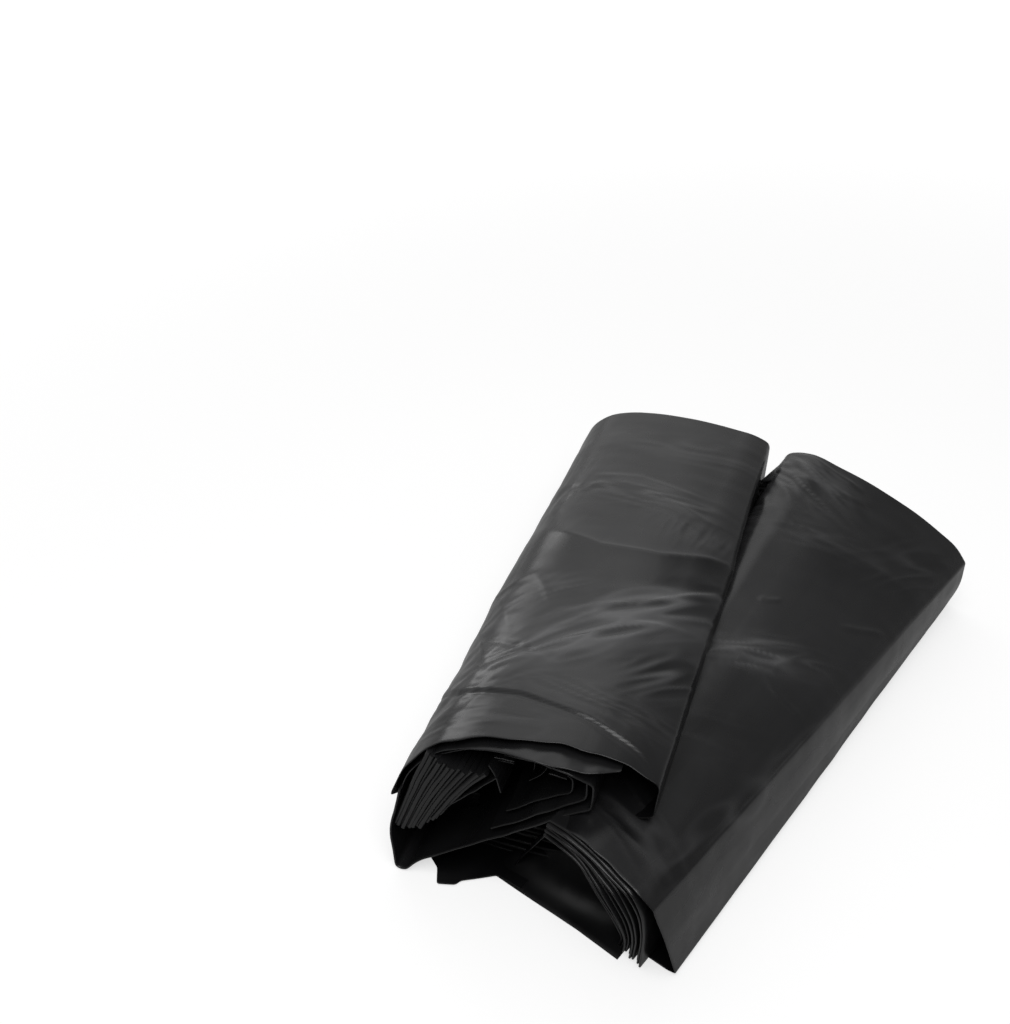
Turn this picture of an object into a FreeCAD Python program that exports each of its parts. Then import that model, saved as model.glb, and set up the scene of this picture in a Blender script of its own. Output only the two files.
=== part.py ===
"""A folded roll of bin bags: one stack of flat bags whose two sides are folded over into a left and a
right lobe. The lobes cross near their front ends, where the left one leans on the right one, and fan apart
towards the back. Lengths are in millimetres, +Z is up and the lobes run along Y, front ends towards -Y."""

import FreeCAD, Part
import math
import operator
import os

import Sketcher

LEFT = 1
RIGHT = -1

SIZES = {
    "fan_angle": (10.4, "turn of each lobe away from the middle line, in degrees"),
    "film_fold": (3.0, "outermost folded bag, measured through its film layers"),
    "leaf_pitch": (4.4, "distance from one folded bag to the next in the stack"),
    "leaf_gap": (1.4, "open gap between two folded bags at the ends of the stack"),
    "leaf_depth": (14.0, "depth of those gaps from the end of the stack"),
    "left_width": (184.0, "left lobe across its folds"),
    "left_reach": (38.0, "left lobe's inner side from the crossing of the lobes"),
    "left_front": (240.0, "left lobe's foot in front of the crossing"),
    "left_back": (249.0, "left lobe's back end behind the crossing"),
    "left_lean": (17.0, "backward lean of the left lobe's front end, in degrees"),
    "left_skew": (4.0, "turn of the left lobe's front end towards its outer side, in degrees"),
    "left_top_front": (133.0, "height of the left lobe's highest line at its front end"),
    "left_top_back": (107.0, "height of the left lobe's highest line at its back end"),
    "left_crest": (58.0, "left lobe's highest line from its inner side"),
    "left_shoulder": (48.0, "left lobe's rounded outer shoulder, from its side in to its flatter top"),
    "fan_width": (36.0, "spread of the fanned leaves in the left lobe's front end, across their tops"),
    "left_hollow": (34.0, "depth of the hollows in the left lobe's front end"),
    "middle_recess": (34.0, "how far the stack's middle lies behind the left lobe's foot"),
    "right_reach": (151.0, "right lobe's outer side from the crossing of the lobes"),
    "right_width_front": (129.0, "right lobe across its front end"),
    "right_width_back": (195.0, "right lobe across its back end"),
    "right_front": (231.0, "right lobe's front end before the crossing"),
    "right_back": (256.0, "right lobe's back end behind the crossing"),
    "right_top_front": (89.0, "height of the right lobe's stack at its front end"),
    "right_top_back": (98.0, "height of the right lobe at its back end"),
    "crease_front": (81.0, "height of the outer crease at the front end"),
    "crease_back": (62.0, "height of the outer crease at the back end"),
    "corner_flare": (12.0, "how far the loose outer corner stands out at the front"),
    "right_hollow": (30.0, "depth of the hollow in the right lobe's front end"),
    "ground_trim": (2.0, "how far the lobes reach below the ground before they are trimmed level"),
    "flap_lip": (36.0, "how far the bottom flap lies out in front of the right lobe"),
    "flap_fold": (3.0, "thickness of the bottom flap"),
    "flap_side": (110.0, "how far the bottom run reaches beyond the right lobe's inner side"),
    "flap_front": (100.0, "where the bottom run reaches that far, behind the right lobe's front end"),
}

OPERATIONS = {"+": operator.add, "-": operator.sub, "*": operator.mul, "/": operator.truediv}


class Size:
    """A length worked out from the sheet: its value now, and the expression that keeps it up to date."""

    def __init__(self, value, text):
        self.value = value
        self.text = text

    def __add__(self, other):
        return worked_out(self, "+", other)

    def __sub__(self, other):
        return worked_out(self, "-", other)

    def __mul__(self, other):
        return worked_out(self, "*", other)

    def __truediv__(self, other):
        return worked_out(self, "/", other)

    def __neg__(self):
        return self * -1


def as_size(number):
    if isinstance(number, Size):
        return number
    return Size(float(number), f"({number})")


def worked_out(left, sign, right):
    left, right = as_size(left), as_size(right)
    return Size(OPERATIONS[sign](left.value, right.value), f"({left.text} {sign} {right.text})")


def root(size):
    return Size(math.sqrt(size.value), f"sqrt({size.text})")


def cell(name):
    return Size(SIZES[name][0], f"Sizes.{name}")


def between(start, end, share):
    """The point that share of the way from start to end, in x and z."""
    return start[0] + (end[0] - start[0]) * share, start[1] + (end[1] - start[1]) * share


def make_sheet(doc):
    sheet = doc.addObject("Spreadsheet::Sheet", "Sizes")
    for row, (name, (value, meaning)) in enumerate(SIZES.items(), start=1):
        sheet.set(f"A{row}", meaning)
        sheet.set(f"B{row}", str(value))
        sheet.setAlias(f"B{row}", name)
    doc.recompute()


class End:
    """One end of a lobe: its station along the lobe from the crossing, its skew and lean in degrees, and
    how much the lobe's top falls from the front to the back for each millimetre along it."""

    def __init__(self, side, station, skew=0, lean=0, fall=0):
        self.side = side
        self.station = as_size(station)
        self.skew = as_size(skew)
        self.lean = as_size(lean)
        self.fall = as_size(fall)

    def placement(self):
        fan = f"placement(vector(0; 0; 0); rotation(vector(0; 1; 0); {self.side} * Sizes.fan_angle))"
        skew = f"rotation(vector(0; 1; 0); {self.side} * {self.skew.text})"
        lean = f"rotation(vector(1; 0; 0); -1 * {self.lean.text})"
        return f"{fan} * placement(vector(0; 0; -1 * {self.station.text}); {skew} * {lean})"

    def height(self, z):
        """The height z above the ground, measured along the leaning end."""
        return as_size(z) / Size(math.cos(math.radians(self.lean.value)), f"cos({self.lean.text})")

    def inward(self):
        """The expressions of the direction along the lobe, from this end to its other end."""
        way = 1 if self.station.value < 0 else -1
        across = f"{-way * self.side} * sin(Sizes.fan_angle)"
        return across, f"{way} * cos(Sizes.fan_angle)", f"{-way} * {self.fall.text}"


def outline_sketch(body, name, end, corners):
    """A closed outline of corners (x, z, crown). The edge after a corner is straight if its crown is 0, and
    otherwise an arc that stands out by the crown. All corners and radii are bound to the sheet."""
    sketch = body.newObject("Sketcher::SketchObject", name)
    origin_plane = next(p for p in body.Origin.OriginFeatures if p.Role == "XZ_Plane")
    sketch.AttachmentSupport = (origin_plane, "")
    sketch.MapMode = "FlatFace"
    sketch.setExpression("AttachmentOffset", end.placement())
    add_edges(sketch, [(as_size(x), end.height(z), crown) for x, z, crown in corners])
    return sketch


def add_edges(sketch, corners):
    """Draws the outline's edges and ties each corner to the sheet."""
    edges = []
    for start, end in zip(corners, corners[1:] + corners[:1]):
        edges.append(add_edge(sketch, start, end))
    for index, (edge, first, last, radius) in enumerate(edges):
        x, z, crown = corners[index]
        before = edges[index - 1]
        sketch.addConstraint(Sketcher.Constraint("Coincident", before[0], before[2], edge, first))
        bind(sketch, Sketcher.Constraint("DistanceX", edge, first, x.value), x)
        if z.value == 0:
            sketch.addConstraint(Sketcher.Constraint("PointOnObject", edge, first, -1))
        else:
            bind(sketch, Sketcher.Constraint("DistanceY", edge, first, z.value), z)
        if radius is not None:
            bind(sketch, Sketcher.Constraint("Radius", edge, radius.value), radius)


def add_edge(sketch, start, end):
    """Adds one edge, and returns its number, its points at start and end, and its radius if it is an arc."""
    here = FreeCAD.Vector(start[0].value, start[1].value, 0)
    there = FreeCAD.Vector(end[0].value, end[1].value, 0)
    crown = as_size(start[2])
    if crown.value == 0:
        return sketch.addGeometry(Part.LineSegment(here, there), False), 1, 2, None
    along = there - here
    outward = FreeCAD.Vector(along.y, -along.x, 0).normalize()
    middle = (here + there) * 0.5 + outward * crown.value
    edge = sketch.addGeometry(Part.Arc(here, middle, there), False)
    chord = root((end[0] - start[0]) * (end[0] - start[0]) + (end[1] - start[1]) * (end[1] - start[1]))
    height = crown if crown.value > 0 else -crown
    radius = chord * chord / (height * 8) + height / 2
    first, last = (1, 2) if sketch.getPoint(edge, 1).isEqual(here, 1e-3) else (2, 1)
    return edge, first, last, radius


def bind(sketch, constraint, size):
    number = sketch.addConstraint(constraint)
    sketch.setExpression(f"Constraints[{number}]", size.text)


def right_sections():
    """The right lobe's outlines at its front and its back end, seen from the front."""
    reach, flare, ground = cell("right_reach"), cell("corner_flare"), -cell("ground_trim")
    crease, top = cell("crease_front"), cell("right_top_front")
    inner = reach - cell("right_width_front")
    front = [
        (inner, ground, 0),
        (reach + flare - 4, ground, 0),
        (reach + flare, 4, 2),
        (reach - 4, crease - 13, 2),
        (reach - 18, crease + 1, 1.5),
        (inner + 50, top, 2),
        (inner + 38, top - 5, 0),
        (inner + 2, 6, 0),
    ]
    crease, top = cell("crease_back"), cell("right_top_back")
    inner = reach - cell("right_width_back")
    back = [
        (inner + 14, ground, 0),
        (reach - 11, ground, 0),
        (reach - 1, 12, 3),
        (reach + 1, crease - 14, 4),
        (reach - 13, crease + 2, 10),
        (inner + 24, top, 4),
        (inner + 2, top - 16, 0),
        (inner, 16, 0),
    ]
    return front, back


def left_sections():
    """The left lobe's outlines at its front end, where it leans on the right lobe, and at its back end."""
    reach, ground = cell("left_reach"), -cell("ground_trim")
    outer = reach - cell("left_width")
    rest, top, shoulder = cell("right_top_front") - 4, cell("left_top_front"), cell("left_shoulder")
    crest = reach - cell("left_crest")
    front = [
        (outer + 10, ground, 0),
        (outer + 26, ground, 0),
        (reach - 50, rest, 0),
        (reach - 12, rest, 2),
        (reach, rest + 10, 1),
        (reach + 1, top - 14, 2),
        (reach - 20, top - 5.5, 1),
        (crest, top, 1),
        (crest - 50, top - 5.5, 1),
        (outer + shoulder, top - 13, 1),
        (outer + shoulder / 2, top - 24.5, 2),
        (outer + 7, top - 47, 2),
        (outer - 1, top - 71, 2),
        (outer + 3, 20, 0),
    ]
    top = cell("left_top_back")
    back = [
        (outer + 10, ground, 0),
        (outer + 36, ground, 0),
        (reach - 30, ground, 0),
        (reach - 9, ground, 2),
        (reach, 10, 1),
        (reach + 1, top - 11, 3),
        (reach - 16, top - 4, 1),
        (crest, top, 1),
        (crest - 50, top - 1, 1),
        (outer + shoulder, top - 5, 2),
        (outer + shoulder / 2, top - 13, 2),
        (outer + 8, top - 29, 2),
        (outer, top - 50, 2),
        (outer + 3, 14, 0),
    ]
    return front, back


def add_loft(body, name, front, back, sections):
    """A solid ruled from its outline at the front end to its outline at the back end."""
    front_sketch = outline_sketch(body, f"{name}_front", front, sections[0])
    back_sketch = outline_sketch(body, f"{name}_back", back, sections[1])
    loft = body.newObject("PartDesign::AdditiveLoft", name)
    loft.Profile = front_sketch
    loft.Sections = [back_sketch]
    loft.Ruled = True


def add_pocket(body, name, end, outline, depth):
    """A hollow cut along a lobe from one of its ends, as deep as depth says."""
    sketch = outline_sketch(body, f"{name}_outline", end, outline)
    pocket = body.newObject("PartDesign::Pocket", name)
    pocket.Profile = sketch
    pocket.setExpression("Length", depth.text)
    pocket.UseCustomVector = True
    pocket.AlongSketchNormal = False
    for axis, text in zip("xyz", end.inward()):
        pocket.setExpression(f"Direction.{axis}", text)


def groove_outline(path, width):
    """A narrow band about a path of points (x, z, across x, across z), as wide as width."""
    half = width / 2
    one_side = [(x + half * across_x, z + half * across_z, 0) for x, z, across_x, across_z in path]
    other_side = [(x - half * across_x, z - half * across_z, 0) for x, z, across_x, across_z in path]
    return one_side + other_side[::-1]


def middle_sections():
    """The stack's middle between the lobes: it fills the wedge under the left lobe's leaning front."""
    reach, rest, ground = cell("left_reach"), cell("right_top_front") - 4, -cell("ground_trim")
    outer = reach - cell("left_width")
    front = [
        (outer + 34, ground, 0),
        (reach - 58, ground, 0),
        (reach - 52, rest - 8, 0),
    ]
    back = [
        (outer + 44, ground, 0),
        (reach - 12, ground, 0),
        (reach - 12, 20, 0),
    ]
    return front, back


def cut_right_front(body, end):
    """The right lobe's front end: the stack's leaves, which turn down at the outer side, the hollow that
    they close in, and the pocket behind the loose corner of the outermost bag."""
    reach, flare, fold = cell("right_reach"), cell("corner_flare"), cell("film_fold")
    crease, top = cell("crease_front"), cell("right_top_front")
    inner = reach - cell("right_width_front")
    pitch = cell("leaf_pitch")
    for leaf in range(1, 6):
        drop = pitch * leaf
        path = [
            (inner + 44, top - drop, 0, 1),
            (reach - 20 - drop * 0.7, crease - drop, 1, 1),
            (reach - 11 - drop, crease - 22 - drop, 1, 0.3),
            (reach - 12 - drop, fold + 3, 1, 0),
        ]
        outline = groove_outline(path, cell("leaf_gap"))
        add_pocket(body, f"right_leaf_{leaf}", end, outline, cell("leaf_depth"))
    stack = pitch * 6 + fold
    hollow = [
        (inner + 12, fold + 2, 0),
        (reach - 15 - stack, fold + 2, 0),
        (reach - 15 - stack, crease - stack - 26, 0),
        (reach - 26 - stack, crease - stack - 6, 0),
        (inner + 42, top - stack - 3, 0),
    ]
    add_pocket(body, "right_hollow", end, hollow, cell("right_hollow"))
    corner = [
        (reach - 9, fold, 0),
        (reach + flare - fold - 3, fold, 0),
        (reach - 5 - fold, crease - 14, 0),
        (reach - 9, crease - 16, 0),
    ]
    add_pocket(body, "corner_pocket", end, corner, cell("right_hollow"))


def cut_left_front(body, end):
    """The left lobe's front end: the gap under the outermost bag, the hollow beside the rolled-in turn,
    the hollow inside that turn, and the leaves that fan up from the outer side."""
    reach, fold = cell("left_reach"), cell("film_fold")
    outer = reach - cell("left_width")
    rest, top, shoulder = cell("right_top_front") - 4, cell("left_top_front"), cell("left_shoulder")
    depth, gap = cell("left_hollow"), cell("leaf_gap")
    skin = [
        (outer + 30, top - fold - 24, 0.3, 1),
        (outer + shoulder + 8, top - fold - 12.5, 0, 1),
        (reach - 50, top - fold - 2, 0, 1),
        (reach - 34, top - fold - 4.5, 0, 1),
    ]
    add_pocket(body, "skin_gap", end, groove_outline(skin, gap), depth)
    beside = [
        (reach - 36, rest + fold + 2, 0),
        (reach - 10, rest + fold + 2, 0),
        (reach - fold, rest + fold + 9, 0),
        (reach - fold, top - fold - 15, 0),
        (reach - 10, top - fold - 11, 0),
        (reach - 30, top - fold - 5, 0),
        (reach - 40, rest + 20, 0),
    ]
    add_pocket(body, "hollow_beside_turn", end, beside, depth + 20)
    inside = [
        (outer + shoulder + 24, rest - 22, 0),
        (reach - 76, rest - 10, 0),
        (reach - 50, rest + fold + 4, 0),
        (reach - 47, rest + 16, 0),
        (reach - 84, rest + 25, 0),
        (outer + shoulder + 20, rest + 27, 0),
    ]
    add_pocket(body, "hollow_in_turn", end, inside, depth + 10)
    foot = ((outer + 7, as_size(38)), (outer + 34, as_size(34)))
    tip = ((outer + 28, top - 30), (outer + 28 + cell("fan_width"), rest + 6))
    for leaf in range(7):
        low = between(*foot, leaf / 6)
        high = between(*tip, leaf / 6)
        outline = groove_outline([(*low, 0.6, 0), (*high, 1.2, 0)], gap)
        add_pocket(body, f"left_leaf_{leaf + 1}", end, outline, cell("leaf_depth"))


def cut_back_ends(body, left_end, right_end):
    """The back ends: the leaves follow each lobe's outer turn."""
    pitch, gap = cell("leaf_pitch"), cell("leaf_gap")
    reach, top, crease = cell("right_reach"), cell("right_top_back"), cell("crease_back")
    inner = reach - cell("right_width_back")
    for leaf in range(1, 5):
        drop = pitch * leaf
        path = [
            (inner + 26 + drop, top - drop - 2, 0, 1),
            ((inner + reach) / 2, (top + crease) / 2 + 6 - drop, 0, 1),
            (reach - 16 - drop, crease - drop, 1, 1),
            (reach - 3 - drop, crease - 18 - drop, 1, 0.3),
            (reach - 4 - drop, drop * 0.7 + 6, 1, 0),
        ]
        outline = groove_outline(path, gap)
        add_pocket(body, f"right_back_leaf_{leaf}", right_end, outline, cell("leaf_depth"))
    reach, top, shoulder = cell("left_reach"), cell("left_top_back"), cell("left_shoulder")
    outer = reach - cell("left_width")
    for leaf in range(1, 5):
        drop = pitch * leaf
        path = [
            (reach - 10 - drop, top - drop - 9, 0, 1),
            (reach - cell("left_crest"), top - drop - 2, 0, 1),
            (outer + shoulder, top - drop - 6, 0, 1),
            (outer + 20 + drop * 0.5, top - 16 - drop, -1, 1),
            (outer + 4 + drop, top - 40 - drop * 0.5, -1, 0.3),
            (outer + 6 + drop, drop * 0.7 + 12, -1, 0),
        ]
        outline = groove_outline(path, gap)
        add_pocket(body, f"left_back_leaf_{leaf}", left_end, outline, cell("leaf_depth"))


def ground_sketch(body, name, corners):
    """A closed outline of corners (x, y, 0) on the ground, turned as the right lobe is."""
    sketch = body.newObject("Sketcher::SketchObject", name)
    plane = next(p for p in body.Origin.OriginFeatures if p.Role == "XY_Plane")
    sketch.AttachmentSupport = (plane, "")
    sketch.MapMode = "FlatFace"
    sketch.setExpression(
        "AttachmentOffset", "placement(vector(0; 0; 0); rotation(vector(0; 0; 1); -1 * Sizes.fan_angle))"
    )
    add_edges(sketch, [(as_size(x), as_size(y), crown) for x, y, crown in corners])
    return sketch


def add_flap(body):
    """The stack's bottom run, which joins the lobes underneath and lies out as a flap at the front."""
    station, back, lip = -cell("right_front"), cell("right_back") - 20, cell("flap_lip")
    side = cell("flap_side")
    inner = cell("right_reach") - cell("right_width_front")
    corners = [
        (inner - 33, station - lip - 4, 0),
        (inner - 20, station - lip + 4, 0),
        (inner - 14, station - 20, 0),
        (inner + 12, station + 2, 0),
        (inner + 20, back, 0),
        (inner - side, back, 0),
        (inner - side + 22, station + cell("flap_front"), 0),
    ]
    flap = body.newObject("PartDesign::Pad", "bottom_flap")
    flap.Profile = ground_sketch(body, "flap_outline", corners)
    flap.setExpression("Length", cell("flap_fold").text)


def trim_level(body):
    """Trims what reaches below the ground, so that the stack lies on one flat face."""
    far, trim = cell("left_width") * 2, cell("ground_trim")
    corners = [(-far, -far, 0), (far, -far, 0), (far, far, 0), (-far, far, 0)]
    level = body.newObject("PartDesign::Pocket", "level_base")
    level.Profile = ground_sketch(body, "level_outline", corners)
    level.setExpression("Length", (trim * 2).text)


def slant_corner(body):
    """The loose outer corner's front edge slants back towards its tip."""
    station, tip = -cell("right_front"), cell("right_reach") + cell("corner_flare")
    corners = [
        (tip - 25, station - 2, 0),
        (tip + 9, station - 2, 0),
        (tip + 9, station + 19, 0),
    ]
    slant = body.newObject("PartDesign::Pocket", "corner_slant")
    slant.Profile = ground_sketch(body, "slant_outline", corners)
    slant.Reversed = True
    slant.setExpression("Length", cell("right_top_front").text)


def check(doc, body):
    for item in doc.Objects:
        if "Invalid" in item.State or "Error" in item.State:
            raise RuntimeError(f"{item.Label} failed: {item.State}")
        if item.TypeId == "PartDesign::Pocket" and item.Shape.Volume >= item.BaseFeature.Shape.Volume:
            raise RuntimeError(f"{item.Label} takes nothing away")
    if body.Shape.isNull() or not body.Shape.isValid() or len(body.Shape.Solids) != 1:
        raise RuntimeError(f"{body.Label} is not one valid solid")


def main():
    doc = FreeCAD.newDocument("bin_bag_roll")
    make_sheet(doc)
    body = doc.addObject("PartDesign::Body", "bag_roll")
    body.Label = "bag_roll"
    right_front = End(RIGHT, -cell("right_front"))
    right_back = End(RIGHT, cell("right_back"))
    fall = (cell("left_top_front") - cell("left_top_back")) / (cell("left_front") + cell("left_back"))
    left_front = End(LEFT, -cell("left_front"), cell("left_skew"), cell("left_lean"), fall)
    left_back = End(LEFT, cell("left_back"), fall=fall)
    middle_front = End(LEFT, cell("middle_recess") - cell("left_front"))
    middle_back = End(LEFT, cell("left_back") - 4)
    add_loft(body, "right_lobe", right_front, right_back, right_sections())
    add_loft(body, "stack_middle", middle_front, middle_back, middle_sections())
    add_flap(body)
    add_loft(body, "left_lobe", left_front, left_back, left_sections())
    trim_level(body)
    cut_right_front(body, right_front)
    slant_corner(body)
    cut_left_front(body, left_front)
    cut_back_ends(body, left_back, right_back)
    doc.recompute()
    box = body.Shape.optimalBoundingBox(False)
    body.Placement.Base = FreeCAD.Vector(-box.Center.x, -box.Center.y, 0)
    doc.recompute()
    check(doc, body)
    os.makedirs("parts", exist_ok=True)
    body.Shape.exportStep(os.path.join("parts", f"{body.Label}.step"))
    print("crossing of the lobes at", body.Placement.Base, "size", body.Shape.optimalBoundingBox(False))
    print("volume in cubic metres", body.Shape.Volume / 1e9)


main()
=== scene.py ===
"""A folded roll of black bin bags on a pale floor.

Lengths in this script are in millimetres until a mesh is made. Each lobe has its own coordinates: x across
it, y along it from its front end to its back end, z up. An outline is a list of corners (x, y, z, radius)."""
import math

import bpy
import numpy as np
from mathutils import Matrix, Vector, noise

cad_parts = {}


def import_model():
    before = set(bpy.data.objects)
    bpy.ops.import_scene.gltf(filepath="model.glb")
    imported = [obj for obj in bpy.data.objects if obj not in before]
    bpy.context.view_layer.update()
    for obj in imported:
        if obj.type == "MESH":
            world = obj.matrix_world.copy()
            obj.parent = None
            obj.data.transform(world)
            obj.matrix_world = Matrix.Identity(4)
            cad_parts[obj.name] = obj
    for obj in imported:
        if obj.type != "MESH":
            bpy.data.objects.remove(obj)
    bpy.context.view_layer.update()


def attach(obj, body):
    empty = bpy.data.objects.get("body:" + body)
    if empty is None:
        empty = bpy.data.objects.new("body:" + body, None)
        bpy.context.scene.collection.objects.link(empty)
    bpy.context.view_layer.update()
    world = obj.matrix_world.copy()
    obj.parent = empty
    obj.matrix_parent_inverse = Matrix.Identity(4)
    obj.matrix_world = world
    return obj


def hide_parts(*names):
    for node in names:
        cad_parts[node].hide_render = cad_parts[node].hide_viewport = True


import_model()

# The lobes are turned by FAN about the point where they cross, one to each side, and their tops fall by FALL
# towards the back. No film lies lower than FLOOR_GAP.
LEFT, RIGHT = 1, -1
FAN = math.radians(10.4)
CROSSING = (-4.223, 5.150)
FALL = 0.053
FLOOR_GAP = 0.2

CAMERA = (0.2138, -0.63185, 0.714)
CAMERA_TILT, CAMERA_TURN, LENS, SENSOR = 51.4, 30.5, 38.85, 36

# Paths: the most of a side that a corner's curve takes, and the curve's steps.
CORNER_SHARE = 0.48
CURVE_CELL, CURVE_STEPS = 0.7, 4

# Films: the rows that round their edges, how many rows the inner face of an outer film runs in from each
# edge, the first row of its outer face, and the angle from which an edge is drawn sharp.
EDGE_ANGLES = tuple(math.radians(angle) for angle in (-50, -18, 18, 50))
EDGE_ROWS = len(EDGE_ANGLES)
LIP_ROWS = 24
OUTER_ROW = LIP_ROWS + 1 + EDGE_ROWS
SHARP_ANGLE = math.radians(60)


def unit(vectors):
    return vectors / np.maximum(np.linalg.norm(vectors, axis=-1, keepdims=True), 1e-9)


def ramp(values, start, width):
    """0 up to start, rising to 1 over width."""
    return np.clip((values - start) / width, 0, 1)


def in_row(side, points):
    """Points (..., 3) from a lobe's coordinates to the row frame, in metres. Nothing sinks into the floor."""
    turn = side * FAN
    x, y, z = points[..., 0], points[..., 1], points[..., 2]
    across = x * math.cos(turn) - y * math.sin(turn) + CROSSING[0]
    along = x * math.sin(turn) + y * math.cos(turn) + CROSSING[1]
    return np.stack((across, along, np.maximum(z, FLOOR_GAP)), -1) / 1000


def traced(outlines, cell, closed=False):
    """Points along several outlines that match corner by corner. Each corner is rounded by a curve that
    starts its radius before it."""
    starts, ends, corners = [], [], []
    for outline in outlines:
        table = np.array(outline, float)
        place, radius = table[:, :3], table[:, 3:]
        before, after = np.roll(place, 1, 0), np.roll(place, -1, 0)
        if not closed:
            before[0], after[-1] = place[0], place[-1]
        room = np.minimum(np.linalg.norm(place - before, axis=1), np.linalg.norm(after - place, axis=1))
        radius = np.minimum(radius, CORNER_SHARE * room[:, None])
        corners.append(place)
        starts.append(place + unit(before - place) * radius)
        ends.append(place + unit(after - place) * radius)
    count = len(corners[0])
    paths = [[] for _ in outlines]
    for k in range(count):
        bend = max(np.linalg.norm(e[k] - s[k]) for s, e in zip(starts, ends))
        steps = max(CURVE_STEPS, math.ceil(bend / (cell * CURVE_CELL))) if bend > 0 else 0
        for path, start, corner, end in zip(paths, starts, corners, ends):
            for t in np.arange(steps) / max(steps, 1):
                path.append((1 - t) ** 2 * start[k] + 2 * t * (1 - t) * corner[k] + t * t * end[k])
        if closed or k < count - 1:
            follow = (k + 1) % count
            run = max(np.linalg.norm(s[follow] - e[k]) for s, e in zip(starts, ends))
            steps = max(1, math.ceil(run / cell))
            for path, start, end in zip(paths, starts, ends):
                for t in np.arange(steps) / steps:
                    path.append(end[k] + (start[follow] - end[k]) * t)
        else:
            for path, end in zip(paths, ends):
                path.append(end[k])
    return [np.array(path) for path in paths]


def ripple(points, scale, seed):
    """Smooth noise from -1 to 1 whose waves are about scale long, three numbers for x, y and z."""
    flat = points.reshape(-1, 3) / np.array(scale) + seed
    return np.array([noise.noise(Vector(p)) for p in flat]).reshape(points.shape[:-1])


def across_line(points, line):
    """Each point's distance from a line of points, signed by its side, and a fade: 1 along the line, falling
    to 0 over a fifth of it at each end."""
    line = np.array(line, float)
    lengths = np.linalg.norm(np.diff(line, axis=0), axis=1)
    total = lengths.sum()
    best = np.full(points.shape[:-1], 1e9)
    signed = np.zeros_like(best)
    place = np.zeros_like(best)
    gone = 0.0
    for a, b, length in zip(line, line[1:], lengths):
        along = (b - a) / length
        offset = points - a
        t = np.clip(offset @ along, 0, length)
        apart = offset - t[..., None] * along
        distance = np.linalg.norm(apart, axis=-1)
        side = np.sign(along[0] * offset[..., 1] - along[1] * offset[..., 0])
        nearer = distance < best
        best = np.where(nearer, distance, best)
        signed = np.where(nearer, distance * side, signed)
        place = np.where(nearer, (gone + t) / total, place)
        gone += length
    return signed, np.clip(np.minimum(place, 1 - place) * 5, 0, 1)


def folds(points, lines):
    """The height that lines of folds (kind, height, width, points) add at points (..., 2). A ridge is round,
    a kink is sharp, and a step is steep on one side, over steep_side."""
    steep_side = 1.8
    lift = np.zeros(points.shape[:-1])
    for kind, height, width, line in lines:
        away, fade = across_line(points, line)
        if kind == "ridge":
            shape = np.exp(-(away / width) ** 2)
        elif kind == "kink":
            shape = np.exp(-np.abs(away) / width)
        else:
            shape = np.where(away > 0, np.exp(-away / width), np.exp(-(away / steep_side) ** 2))
        lift += height * shape * fade
    return lift


def patch(grid, x, y, length, width, angle):
    """Coordinates along and over a patch at an angle, and how near each point is to its middle, 0 to 1."""
    turn = math.radians(angle)
    away = grid[..., :2] - (x, y)
    along = away @ (math.cos(turn), math.sin(turn))
    over = away @ (-math.sin(turn), math.cos(turn))
    return along, over, np.exp(-(along / length) ** 2 - (over / width) ** 2)


def crinkles(grid, patches):
    """The height that patches of crisp crinkles (height, x, y, half length, half width, angle, wave) add, and
    the sheen painted on their crests as highlights. They run along the patch's own angle, five times as long as
    wide."""
    first_seed = 200.0
    lift, crest_sheen = np.zeros(grid.shape[:-1]), np.zeros(grid.shape[:-1])
    for number, (height, x, y, length, width, angle, wave) in enumerate(patches):
        along, over, mask = patch(grid, x, y, length, width, angle)
        place = np.stack((along, over, 0.3 * grid[..., 2]), -1)
        waves = np.abs(ripple(place, (wave * 5, wave, wave * 2), first_seed + number))
        lift += height * mask * (1 - 2.4 * waves)
        # Painted sheen: the crests are painted paler, as highlights.
        crest_sheen += 0.55 * height * mask * np.clip(1 - 3.5 * waves, 0, 1)
    return lift, crest_sheen


def normals(grid, wrap):
    """Unit normals of a grid (along, deep, 3)."""
    if wrap:
        along = np.roll(grid, -1, 0) - np.roll(grid, 1, 0)
    else:
        along = np.gradient(grid, axis=0)
    deep = np.gradient(grid, axis=1)
    return unit(np.cross(along, deep))


def point_inwards(grid, facing):
    """Whether the normals of a closed grid point inwards."""
    return np.sum(facing * (grid - grid.mean(0, keepdims=True))) < 0


def lifted(grid, amount, wrap=False):
    """The grid moved along its normals by amount, outwards where it is closed."""
    facing = normals(grid, wrap)
    if wrap and point_inwards(grid, facing):
        facing = -facing
    return grid + facing * amount[..., None]


def waved(grid, waves):
    """The grid with waves (height, scale, seed) in it."""
    return lifted(grid, sum(height * ripple(grid, scale, seed) for height, scale, seed in waves))


def ruled(front, back, cell, steps, closed=True):
    """A grid (along, deep, 3) ruled from the outline at the front to the outline at the back."""
    near, far = traced([front, back], cell, closed)
    share = (steps / steps[-1])[None, :, None]
    return near[:, None] * (1 - share) + far[:, None] * share


def swept(rim, depth, steps, fall=FALL, cell=2.5, pull=0):
    """A grid that runs back from a rim, falling with the lobe. pull moves its back edge across."""
    path = traced([rim], cell)[0]
    share = np.linspace(0, 1, steps + 1)[None, :, None]
    return path[:, None] + share * np.array([pull, depth, -depth * fall])


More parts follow.
